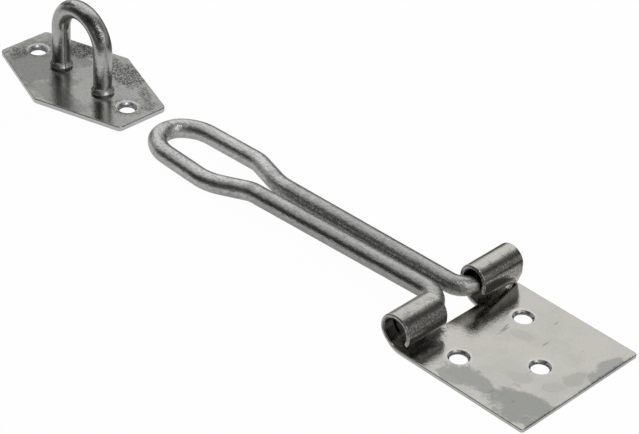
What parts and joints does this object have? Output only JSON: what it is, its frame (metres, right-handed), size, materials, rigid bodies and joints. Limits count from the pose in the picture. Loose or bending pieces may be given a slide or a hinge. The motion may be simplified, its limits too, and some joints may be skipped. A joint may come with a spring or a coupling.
{
  "type": "wire hasp",
  "caption": "Zinc-plated wire hasp: a looped wire arm hinged in a rolled screw plate, with a separate padlock staple on its own plate.",
  "frame": {"origin": "on the hinge plate's back face, midway between the hinge axis and the back edge", "axes": "+Z away from the mounting surface, +X from the hinge axis to the plate's back edge so the arm reaches along -X, +Y along the knuckles"},
  "size_m": [0.2764, 0.057, 0.0338],
  "materials": {
    "zinc_sheet": "bright zinc plate on rolled sheet",
    "zinc_wire": "zinc plate on drawn wire",
    "zinc_staple_plate": "mottled zinc plate",
    "zinc_staple_wire": "zinc plate on bent wire"
  },
  "bodies": {
    "root": {"hinge_plate": "zinc_sheet", "staple_plate": "zinc_staple_plate", "staple": "zinc_staple_wire"},
    "wire": {"wire_arm": "zinc_wire"}
  },
  "joints": [
    {"name": "wire_swing", "type": "hinge", "parent": "root", "child": "wire", "pos_m": [-0.0275, 0, 0.0078], "axis": [0, 1, 0], "range_deg": [-84.5, 183.5]}
  ]
}
